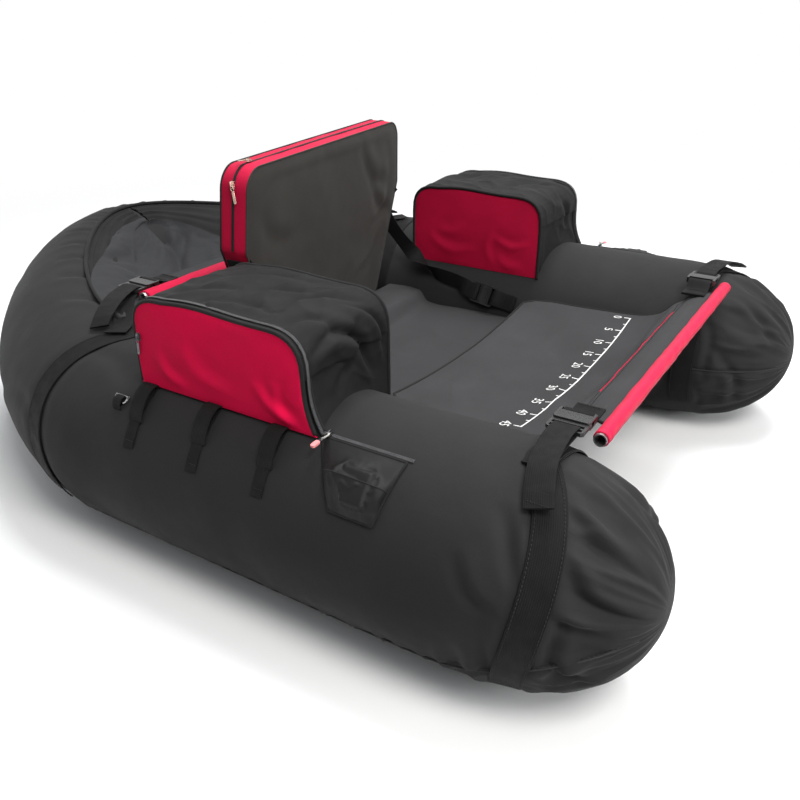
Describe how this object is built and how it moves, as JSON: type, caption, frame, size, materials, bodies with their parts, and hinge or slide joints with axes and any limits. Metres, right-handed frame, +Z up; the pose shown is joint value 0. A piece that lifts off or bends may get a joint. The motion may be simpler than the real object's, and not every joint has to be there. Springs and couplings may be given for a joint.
{
  "type": "float tube",
  "caption": "Inflatable open-front float tube with a folding padded backrest, armrest bags with fold-down doors, a stripping apron on a spreader bar and a rear cargo deck.",
  "frame": {"origin": "middle of the bounding box, on the ground plane that the tube rests on", "axes": "+X to the sitter's left, +Y to the rear bend, +Z up; the sitter faces -Y"},
  "size_m": [1.0516, 1.3828, 0.5071],
  "materials": {
    "cover_fabric": "matte",
    "panel_fabric": "matte",
    "red_fabric": "matte",
    "webbing": "matte",
    "buckle_plastic": "satin",
    "bladder_film": "satin",
    "foam": "matte",
    "bar_metal": "satin",
    "slider_metal": "satin",
    "ring_metal": "satin"
  },
  "bodies": {
    "hull": {"rear_cover": "cover_fabric", "right_cover": "cover_fabric", "left_cover": "cover_fabric", "right_bladder": "bladder_film", "left_bladder": "bladder_film", "right_valve_pocket": "cover_fabric", "left_valve_pocket": "cover_fabric", "front_right_girth_strap": "webbing", "front_left_girth_strap": "webbing", "rear_right_girth_strap": "webbing", "rear_left_girth_strap": "webbing", "rear_bar": "bar_metal", "rear_bar_sleeve": "red_fabric", "cargo_deck": "panel_fabric", "seat_panel": "panel_fabric", "rear_right_socket_loop": "webbing", "rear_left_socket_loop": "webbing", "rear_right_buckle_socket": "buckle_plastic", "rear_left_buckle_socket": "buckle_plastic", "front_left_buckle_socket": "buckle_plastic", "right_bag_shell": "cover_fabric", "left_bag_shell": "cover_fabric", "backrest_right_clip": "buckle_plastic", "backrest_left_clip": "buckle_plastic", "backrest_right_strap": "webbing", "backrest_left_strap": "webbing"},
    "gate": {"front_bar": "bar_metal", "front_bar_sleeve": "red_fabric", "apron": "panel_fabric", "front_right_buckle_socket": "buckle_plastic", "front_right_socket_loop": "webbing", "front_left_socket_loop": "webbing"},
    "backrest": {"backrest_cover": "cover_fabric", "backrest_pad": "foam", "backrest_zip": "red_fabric", "backrest_belt": "webbing"},
    "top_slider": {"backrest_top_slider": "slider_metal"},
    "side_slider": {"backrest_side_slider": "slider_metal"},
    "front_right_clip": {"front_right_buckle_clip": "buckle_plastic", "front_right_adjuster": "webbing"},
    "front_left_clip": {"front_left_buckle_clip": "buckle_plastic", "front_left_adjuster": "webbing"},
    "rear_right_clip": {"rear_right_buckle_clip": "buckle_plastic", "rear_right_adjuster": "webbing"},
    "rear_left_clip": {"rear_left_buckle_clip": "buckle_plastic", "rear_left_adjuster": "webbing"},
    "right_side_socket": {"backrest_right_socket": "buckle_plastic", "backrest_right_anchor": "webbing"},
    "right_bag_door": {"right_bag_door": "red_fabric"},
    "right_bag_slider": {"right_bag_slider": "slider_metal"},
    "right_pocket_slider": {"right_pocket_slider": "slider_metal"},
    "right_d_ring": {"right_d_ring": "ring_metal"},
    "right_valve_cap": {"right_valve_cap": "buckle_plastic"},
    "left_side_socket": {"backrest_left_socket": "buckle_plastic", "backrest_left_anchor": "webbing"},
    "left_bag_door": {"left_bag_door": "red_fabric"},
    "left_bag_slider": {"left_bag_slider": "slider_metal"},
    "left_pocket_slider": {"left_pocket_slider": "slider_metal"},
    "left_d_ring": {"left_d_ring": "ring_metal"},
    "left_valve_cap": {"left_valve_cap": "buckle_plastic"}
  },
  "joints": [
    {"name": "front_gate_swing", "type": "hinge", "parent": "hull", "child": "gate", "pos_m": [0.2784, -0.538, 0.28232], "axis": [0, 1, 0], "range_deg": [0, 100]},
    {"name": "backrest_fold", "type": "hinge", "parent": "hull", "child": "backrest", "pos_m": [0, -0.00662, 0.184], "axis": [1, 0, 0], "range_deg": [0, 55]},
    {"name": "backrest_top_zip_slide", "type": "slide", "parent": "backrest", "child": "top_slider", "axis": [0.988, 0.1547, 0], "range_m": [0, 0.36]},
    {"name": "backrest_side_zip_slide", "type": "slide", "parent": "backrest", "child": "side_slider", "axis": [-0.1069, 0.0395, -0.9935], "range_m": [0, 0.028]},
    {"name": "front_right_clip_slide", "type": "slide", "parent": "gate", "child": "front_right_clip", "axis": [-1, 0, 0], "range_m": [0, 0.02]},
    {"name": "front_left_clip_slide", "type": "slide", "parent": "hull", "child": "front_left_clip", "axis": [1, 0, 0], "range_m": [0, 0.02]},
    {"name": "rear_right_clip_slide", "type": "slide", "parent": "hull", "child": "rear_right_clip", "axis": [-1, 0, 0], "range_m": [0, 0.02]},
    {"name": "rear_left_clip_slide", "type": "slide", "parent": "hull", "child": "rear_left_clip", "axis": [1, 0, 0], "range_m": [0, 0.02]},
    {"name": "right_side_socket_slide", "type": "slide", "parent": "hull", "child": "right_side_socket", "axis": [0.0533, -0.9903, -0.1286], "range_m": [0, 0.018]},
    {"name": "right_bag_door_fold", "type": "hinge", "parent": "hull", "child": "right_bag_door", "pos_m": [-0.4555, 0, 0.2641], "axis": [0, -1, 0], "range_deg": [0, 95]},
    {"name": "right_bag_zip_slide", "type": "slide", "parent": "right_bag_door", "child": "right_bag_slider", "axis": [0, 0, -1], "range_m": [0, 0.024]},
    {"name": "right_pocket_zip_slide", "type": "slide", "parent": "hull", "child": "right_pocket_slider", "axis": [0, -1, 0], "range_m": [0, 0.06]},
    {"name": "right_d_ring_swing", "type": "hinge", "parent": "hull", "child": "right_d_ring", "pos_m": [-0.47795, 0.00608, 0.24917], "axis": [0, 1, 0], "range_deg": [0, 110]},
    {"name": "right_valve_cap_turn", "type": "hinge", "parent": "hull", "child": "right_valve_cap", "pos_m": [-0.48395, -0.366, 0.23665], "axis": [-0.6966, 0, 0.7174], "range_deg": [0, 180]},
    {"name": "left_side_socket_slide", "type": "slide", "parent": "hull", "child": "left_side_socket", "axis": [-0.0533, -0.9903, -0.1286], "range_m": [0, 0.018]},
    {"name": "left_bag_door_fold", "type": "hinge", "parent": "hull", "child": "left_bag_door", "pos_m": [0.4555, 0, 0.2641], "axis": [0, 1, 0], "range_deg": [0, 95]},
    {"name": "left_bag_zip_slide", "type": "slide", "parent": "left_bag_door", "child": "left_bag_slider", "axis": [0, 0, -1], "range_m": [0, 0.024]},
    {"name": "left_pocket_zip_slide", "type": "slide", "parent": "hull", "child": "left_pocket_slider", "axis": [0, -1, 0], "range_m": [0, 0.06]},
    {"name": "left_d_ring_swing", "type": "hinge", "parent": "hull", "child": "left_d_ring", "pos_m": [0.47795, 0.03808, 0.24917], "axis": [0, -1, 0], "range_deg": [0, 110]},
    {"name": "left_valve_cap_turn", "type": "hinge", "parent": "hull", "child": "left_valve_cap", "pos_m": [0.48395, -0.366, 0.23665], "axis": [0.6966, 0, 0.7174], "range_deg": [0, 180]}
  ]
}
